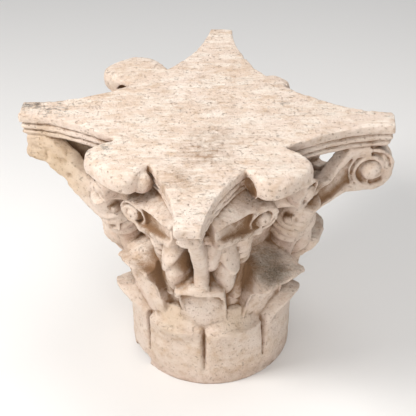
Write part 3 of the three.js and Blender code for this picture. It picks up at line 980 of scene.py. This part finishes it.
class Maker:
    # one material's nodes
    def __init__(self, name):
        self.material = bpy.data.materials.new(name)
        self.material.use_nodes = True
        self.tree = self.material.node_tree
        self.tree.nodes.clear()

    def node(self, kind, settings, values):
        made = self.tree.nodes.new(kind)
        for key, value in settings.items():
            setattr(made, key, value)
        for key, value in values.items():
            socket = value.socket if isinstance(value, Number) else value
            if isinstance(socket, bpy.types.NodeSocket):
                self.tree.links.new(socket, made.inputs[key])
            else:
                made.inputs[key].default_value = socket
        return made

    def number(self, kind, settings, values, output=0):
        return Number(self, self.node(kind, settings, values).outputs[output])

    def between(self, value, low, high):
        # 0 at low, 1 at high, straight between and held outside
        return self.number("ShaderNodeMapRange", {"clamp": True},
                           {"Value": value, "From Min": low, "From Max": high})

    def mix(self, share, a, b):
        # a (1 - share) + b share
        return self.node("ShaderNodeMix", {"data_type": "RGBA"},
                         {0: share, 6: a, 7: b}).outputs[2]

    def stretched(self, place, bearing, length):
        # the place drawn out along a level bearing
        return self.node("ShaderNodeMapping", {"vector_type": "TEXTURE"}, {
            "Vector": place, "Rotation": (0, 0, math.radians(bearing)),
            "Scale": (length, 1, 1)}).outputs[0]

    def cloud(self, place, scale, detail=4, rough=0.6):
        return self.number("ShaderNodeTexNoise", {},
                           {"Vector": place, "Scale": scale, "Detail": detail, "Roughness": rough})


limestone = {
    "white": (0.88, 0.79, 0.69, 1),
    "pale": (0.79, 0.655, 0.555, 1),
    "warm": (0.60, 0.425, 0.285, 1),
    # painted shade for faces turned downward and closed in
    "undersideShade": (0.62, 0.435, 0.365, 1),
    # brown: the stone's grime, stains and pits, and also painted shade in recesses
    "brown": (0.27, 0.153, 0.08, 1),
    "grey": (0.12, 0.115, 0.105, 1),
    "moss": (0.09, 0.066, 0.032, 1),
    "ochre": (0.60, 0.43, 0.24, 1),
    "rough": 0.9,
    "specular": 0.25,
    "relief": 0.9,
    "reliefDepth": 0.006,
    "shadeReach": 0.055,   # how far away stone still counts as closing a place in
    "bedding": 50,         # bearing of the bedding's streaks
}


def limestoneMaterial():
    make = Maker("weathered limestone")
    place = make.node("ShaderNodeTexCoord", {}, {}).outputs["Object"]
    streaked = make.stretched(place, limestone["bedding"], 6)
    lightlyStreaked = make.stretched(place, limestone["bedding"], 2)
    facing = make.node("ShaderNodeNewGeometry", {}, {}).outputs["Normal"]
    up = make.number("ShaderNodeSeparateXYZ", {}, {0: facing}, 2)
    onTop = make.between(up, 0.5, 0.9)
    below = make.between(up, 0.25, -0.35)

    def mark(kind):
        return make.number("ShaderNodeAttribute", {"attribute_name": kind}, {}, "Fac")

    broad = make.cloud(place, 7)
    fine = make.cloud(place, 55, 6, 0.7)
    streaks = make.cloud(streaked, 130, 5, 0.65)
    grit = make.cloud(place, 420, 3, 0.7)
    openness = make.number("ShaderNodeAmbientOcclusion", {"samples": 8},
                           {"Distance": limestone["shadeReach"]}, "AO")

    warm = make.between(broad, 0.42, 0.66) * 0.45 + make.between(fine, 0.48, 0.66) * 0.5
    colour = make.mix(warm, limestone["pale"], limestone["warm"])
    bright = make.between(make.cloud(lightlyStreaked, 42, 6, 0.75), 0.45, 0.6)
    colour = make.mix(bright * (onTop * 0.45 + 0.3), colour, limestone["white"])
    colour = make.mix(make.between(streaks, 0.5, 0.7) * onTop * 0.55, colour, limestone["warm"])
    # painted shade: faces turned downward and closed in are mixed towards pink
    colour = make.mix(below * make.between(openness, 0.95, 0.6) * 0.6, colour, limestone["undersideShade"])
    colour = make.mix(mark("rough") * 0.6, colour, limestone["ochre"])

    # grime and painted shade: closed-in places, creases below the softened skin, the brown marks
    # and the straps' channels go brown, partly the stone's own grime and partly painted shade in
    # recesses
    grimeAndPaintedShade = make.between(openness, 0.8, 0.25) * make.between(fine, 0.2, 0.6)
    grimeAndPaintedShade = grimeAndPaintedShade + make.between(mark("hollow"), 0.15, 0.8) * 0.6
    grimeAndPaintedShade = grimeAndPaintedShade + make.between(mark("channel"), 0.1, 0.7) * make.between(openness, 0.97, 0.8) * 0.8
    grimeAndPaintedShade = grimeAndPaintedShade + mark("brown") * make.between(openness, 0.98, 0.75)
    grimeAndPaintedShade = grimeAndPaintedShade - mark("arris") * 0.3
    colour = make.mix(make.between(grimeAndPaintedShade, 0, 1), colour, limestone["brown"])
    # brown spots over the brown marks: stains on the top, painted shade in the recesses
    brownSpots = mark("brown") * make.between(fine + streaks * 0.6, 0.6, 0.95)
    colour = make.mix(brownSpots * 0.75, colour, limestone["brown"])
    patches = make.cloud(place, 38, 3, 0.6)
    spotted = make.cloud(lightlyStreaked, 170, 5, 0.75)
    greySpots = make.between(mark("grey") * 0.22 - mark("brown") * 0.12
                             + patches * 0.45 + spotted * 0.6, 0.72, 0.83)
    colour = make.mix(greySpots * 0.8, colour, limestone["grey"])
    grime = make.cloud(place, 300, 5, 0.8)
    mossSpots = make.between(mark("moss") * 0.55 + patches * 0.25 + grime * 0.5, 0.6, 0.98)
    colour = make.mix(mossSpots * 0.9, colour, limestone["moss"])

    pits = make.between(make.cloud(place, 190, 2, 0.5), 0.37, 0.31)
    specks = make.between(make.cloud(lightlyStreaked, 220, 4, 0.7), 0.42, 0.34) * onTop
    specks = specks * make.between(patches, 0.46, 0.62)
    holes = make.between(pits * 0.7 + specks * 0.7, 0, 1)
    colour = make.mix(holes * 0.55, colour, limestone["brown"])

    height = (fine * 0.6 + streaks * (onTop * 0.5 + 0.2) + grit * 0.55
              - holes * 0.6 - greySpots * 0.1)
    bump = make.node("ShaderNodeBump", {}, {
        "Strength": limestone["relief"], "Distance": limestone["reliefDepth"],
        "Height": height})
    shader = make.node("ShaderNodeBsdfPrincipled", {}, {
        "Base Color": colour, "Roughness": limestone["rough"], "Normal": bump.outputs[0],
        "Specular IOR Level": limestone["specular"]})
    make.node("ShaderNodeOutputMaterial", {}, {"Surface": shader.outputs[0]})
    return make.material


# Camera, floor and light

camera = {
    "place": (1.3074, -1.0698, 1.5820),
    "right": (0.64250582, 0.76606769, -0.01807109),
    "up": (-0.44506196, 0.39226608, 0.80501377),
    "forward": (-0.62378372, 0.50918328, -0.59298083),
    "lens": 88,
    "sensor": 36,
}

studio = {
    "floor": (0.80, 0.79, 0.77, 1),
    "floorHalf": 6000,
    "air": (0.93, 0.96, 1.0, 1),
    "airStrength": 0.34,
    "aim": (0, 0, 0.3),
    # place, size, power and colour of each soft light
    "lights": [
        ((-0.6, -1.75, 2.2), 0.8, 62, (1.0, 0.975, 0.96)),
        ((0.2, 0.7, 2.6), 1.4, 26, (1.0, 0.98, 0.97)),
        ((2.0, -1.2, 1.2), 1.5, 25, (1.0, 0.96, 0.93)),
    ],
}


def turnedTo(right, up, back, place):
    # the matrix with these columns
    rows = [[column[k] for column in (right, up, back, place)] for k in range(3)]
    return Matrix(rows + [[0, 0, 0, 1]])


def placeCamera():
    data = bpy.data.cameras.new("camera")
    data.lens = camera["lens"]
    data.sensor_width = camera["sensor"]
    made = placed("camera", data)
    back = [-part for part in camera["forward"]]
    made.matrix_world = turnedTo(camera["right"], camera["up"], back, camera["place"])
    bpy.context.scene.camera = made


def aimedLight(name, place, size, power, colour):
    # a soft light whose face looks at the aim, the middle of the stone
    data = bpy.data.lights.new(name, "AREA")
    data.size = size
    data.energy = power
    data.color = colour
    back = unit(np.array(place) - np.array(studio["aim"]))
    right = unit(np.cross([0, 0, 1], back))
    placed(name, data).matrix_world = turnedTo(right, np.cross(back, right), back, place)


def paleFloor():
    square = np.array([[-1, -1, 0], [1, -1, 0], [1, 1, 0], [-1, 1, 0]], float)
    corners = studio["floorHalf"] * square
    floor = placed("floor", meshFrom("floor", corners, np.array([[0, 1, 2, 3]])))
    make = Maker("pale floor")
    shader = make.node("ShaderNodeBsdfPrincipled", {}, {
        "Base Color": studio["floor"], "Roughness": 0.8})
    make.node("ShaderNodeOutputMaterial", {}, {"Surface": shader.outputs[0]})
    floor.data.materials.append(make.material)
    return floor


def lightAir():
    world = bpy.data.worlds.new("air")
    world.use_nodes = True
    background = world.node_tree.nodes["Background"]
    background.inputs["Color"].default_value = studio["air"]
    background.inputs["Strength"].default_value = studio["airStrength"]
    bpy.context.scene.world = world


stone = carve()
paintMarks(stone.data)
stone.data.materials.append(limestoneMaterial())
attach(stone, "root")
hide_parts("capital")
print("stone done")

placeCamera()
paleFloor()
for index, values in enumerate(studio["lights"]):
    aimedLight(f"soft light {index + 1}", *values)
lightAir()
bpy.context.scene.view_settings.view_transform = "Standard"
print("studio done")
